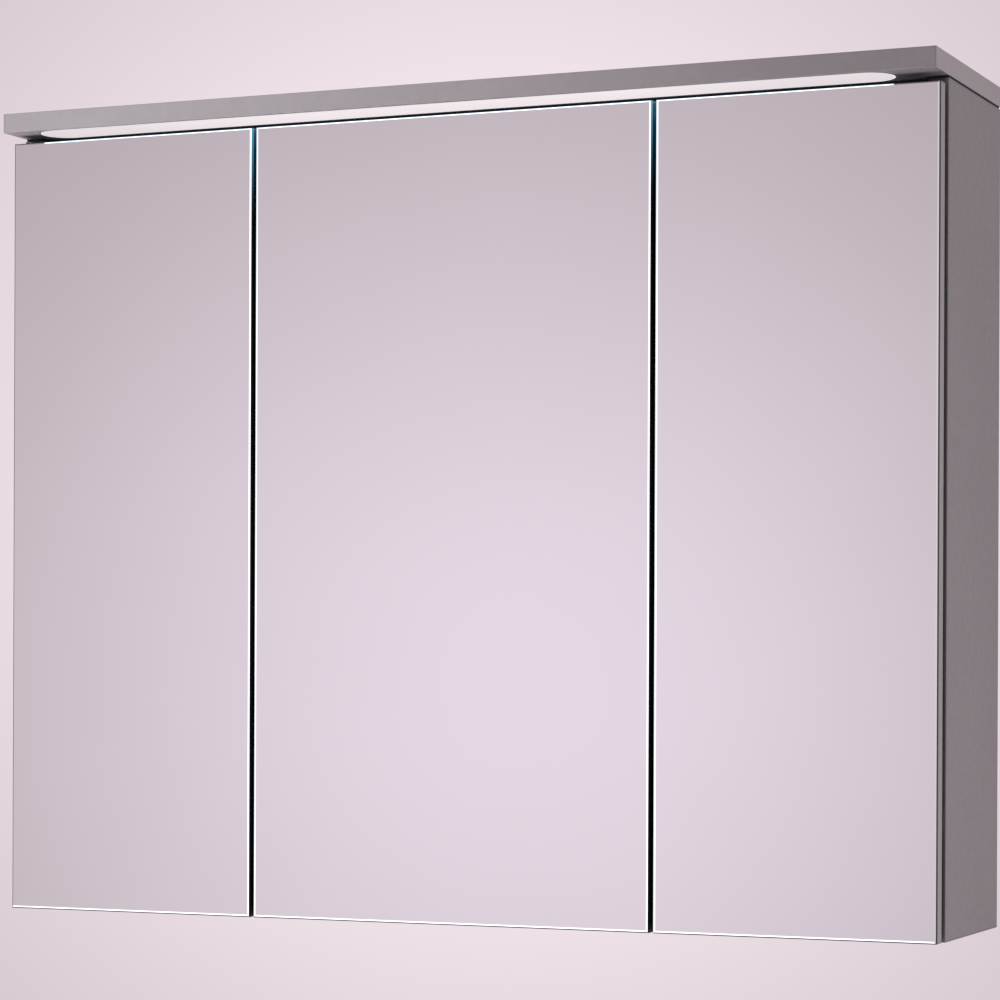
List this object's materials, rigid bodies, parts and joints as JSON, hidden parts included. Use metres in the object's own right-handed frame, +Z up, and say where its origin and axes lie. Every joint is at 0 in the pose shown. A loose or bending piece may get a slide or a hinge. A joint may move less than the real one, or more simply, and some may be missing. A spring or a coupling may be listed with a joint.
{
  "type": "mirrored wall cabinet",
  "caption": "Wide wall cabinet with mirrored, handle-less hinged doors, glass shelves inside and a lit cornice board on top.",
  "frame": {"origin": "on the wall plane, midway between the two wall-fixing holes in the top rail", "axes": "+X to the right seen from the front, +Y towards the wall, +Z up; the doors face -Y"},
  "size_m": [0.8, 0.191, 0.665],
  "materials": {
    "grey_board": "light grey melamine-faced board, satin",
    "back_board": "thin light grey hardboard, satin",
    "silver_mirror": "silvered glass with a polished edge",
    "shelf_glass": "clear float glass with ground edges",
    "dark_strip": "matt dark grey strip",
    "lit_lens": "opal diffuser, lit",
    "aluminium_tray": "anodised",
    "circuit_board": "white solder mask",
    "led_chip": "yellow phosphor",
    "lead_sheath": "white sheathed low-voltage lead",
    "zinc_steel": "zinc plated",
    "nickel_steel": "nickel plated",
    "beech_dowel": "fluted beech",
    "grey_plastic": "moulded, fine matt",
    "white_plastic": "moulded, satin",
    "black_rubber": "matt",
    "clear_bumper": "soft translucent"
  },
  "bodies": {
    "cabinet": {"side_panel_left": "grey_board", "side_panel_right": "grey_board", "bottom_panel": "grey_board", "top_panel": "grey_board", "divider_left": "grey_board", "divider_right": "grey_board", "back_panel": "back_board", "top_rail": "grey_board", "bottom_rail": "grey_board", "fixing_bushes": "zinc_steel", "cornice_board": "grey_board", "shadow_strip": "dark_strip", "led_tray": "aluminium_tray", "led_lens": "lit_lens", "led_board": "circuit_board", "led_chips": "led_chip", "led_lead": "lead_sheath", "shelves_left": "shelf_glass", "shelves_centre": "shelf_glass", "shelves_right": "shelf_glass", "shelf_pins": "zinc_steel", "cam_housings": "zinc_steel", "cam_bolts": "zinc_steel", "dowels": "beech_dowel", "divider_screws": "zinc_steel", "hinge_plates": "nickel_steel", "hinge_arms": "nickel_steel", "hinge_screws": "nickel_steel", "latch_bodies": "grey_plastic", "latch_screws": "nickel_steel", "electrics_box": "white_plastic", "electrics_cover": "white_plastic", "socket_insert": "white_plastic", "switch_frame": "white_plastic", "led_driver": "white_plastic", "terminal_block": "grey_plastic", "cable_grommet": "black_rubber"},
    "door_left": {"door_board_left": "grey_board", "mirror_left": "silver_mirror", "hinge_cups_left": "nickel_steel", "hinge_pins_left": "nickel_steel", "cup_screws_left": "nickel_steel", "bumpers_left": "clear_bumper"},
    "door_centre": {"door_board_centre": "grey_board", "mirror_centre": "silver_mirror", "hinge_cups_centre": "nickel_steel", "hinge_pins_centre": "nickel_steel", "cup_screws_centre": "nickel_steel", "bumpers_centre": "clear_bumper"},
    "door_right": {"door_board_right": "grey_board", "mirror_right": "silver_mirror", "hinge_cups_right": "nickel_steel", "hinge_pins_right": "nickel_steel", "cup_screws_right": "nickel_steel", "bumpers_right": "clear_bumper"},
    "latch_plunger_left": {"latch_plunger_left": "grey_plastic"},
    "latch_plunger_centre": {"latch_plunger_centre": "grey_plastic"},
    "latch_plunger_right": {"latch_plunger_right": "grey_plastic"},
    "rocker": {"rocker": "white_plastic"}
  },
  "joints": [
    {"name": "door_left_hinge", "type": "hinge", "parent": "cabinet", "child": "door_left", "pos_m": [-0.3894, -0.1672, -0.28], "axis": [0, 0, -1], "range_deg": [0, 105]},
    {"name": "door_centre_hinge", "type": "hinge", "parent": "cabinet", "child": "door_centre", "pos_m": [-0.1616, -0.1672, -0.28], "axis": [0, 0, -1], "range_deg": [0, 105]},
    {"name": "door_right_hinge", "type": "hinge", "parent": "cabinet", "child": "door_right", "pos_m": [0.3894, -0.1672, -0.28], "axis": [0, 0, 1], "range_deg": [0, 105]},
    {"name": "latch_left_push", "type": "slide", "parent": "cabinet", "child": "latch_plunger_left", "axis": [0, 1, 0], "range_m": [0, 0.003], "stiffness_N_per_m": 400},
    {"name": "latch_centre_push", "type": "slide", "parent": "cabinet", "child": "latch_plunger_centre", "axis": [0, 1, 0], "range_m": [0, 0.003], "stiffness_N_per_m": 400},
    {"name": "latch_right_push", "type": "slide", "parent": "cabinet", "child": "latch_plunger_right", "axis": [0, 1, 0], "range_m": [0, 0.003], "stiffness_N_per_m": 400},
    {"name": "rocker_tilt", "type": "hinge", "parent": "cabinet", "child": "rocker", "pos_m": [-0.052, -0.064, 0.007], "axis": [1, 0, 0], "range_deg": [-14, 0]}
  ]
}
